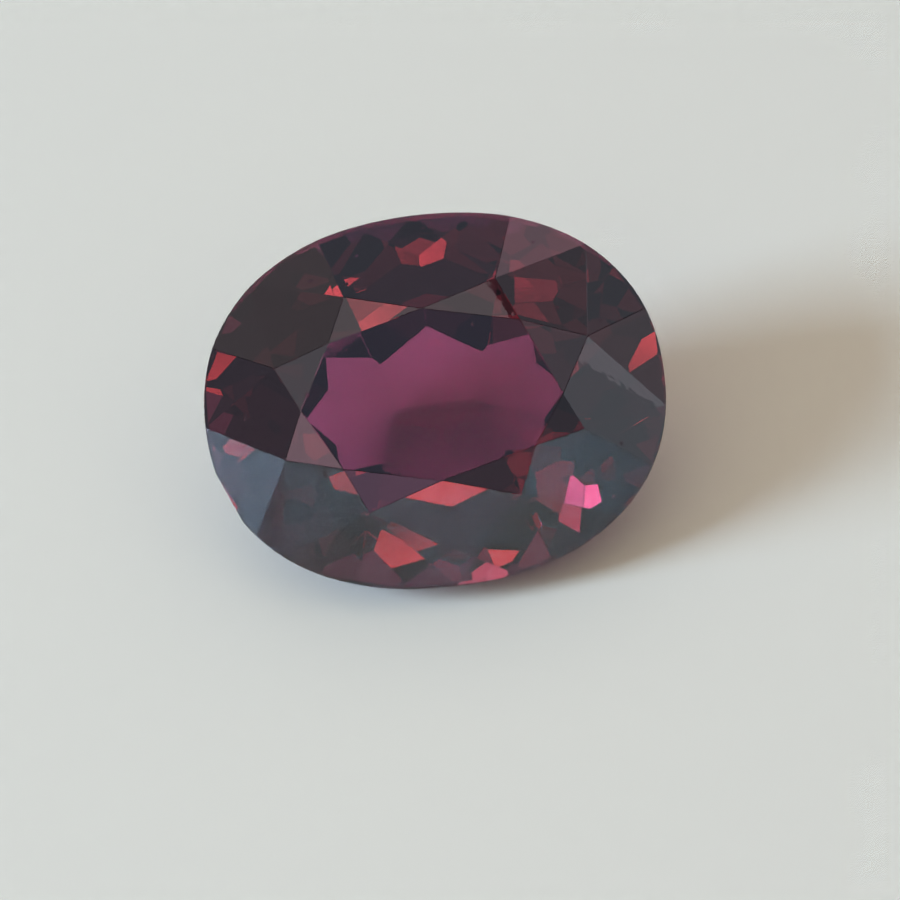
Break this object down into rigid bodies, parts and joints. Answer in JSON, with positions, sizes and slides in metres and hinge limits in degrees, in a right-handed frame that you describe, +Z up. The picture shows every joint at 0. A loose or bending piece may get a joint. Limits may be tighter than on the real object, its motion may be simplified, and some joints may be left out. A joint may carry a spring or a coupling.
{
  "type": "oval cut tourmaline gemstone",
  "caption": "Loose oval brilliant-cut tourmaline, see-through purplish red, lying on a lower facet with its table leaning to the front.",
  "frame": {"origin": "centre of the stone's footprint box, on the ground it lies on", "axes": "+X along the stone's length, +Z up, table facing the front (-Y) and up; the rest facet faces -Z"},
  "size_m": [0.01, 0.0068, 0.0053],
  "materials": {
    "tourmaline": "polished facets, see-through, refractive index about 1.63, purplish red by absorption"
  },
  "bodies": {
    "root": {"gemstone": "tourmaline"}
  },
  "joints": []
}
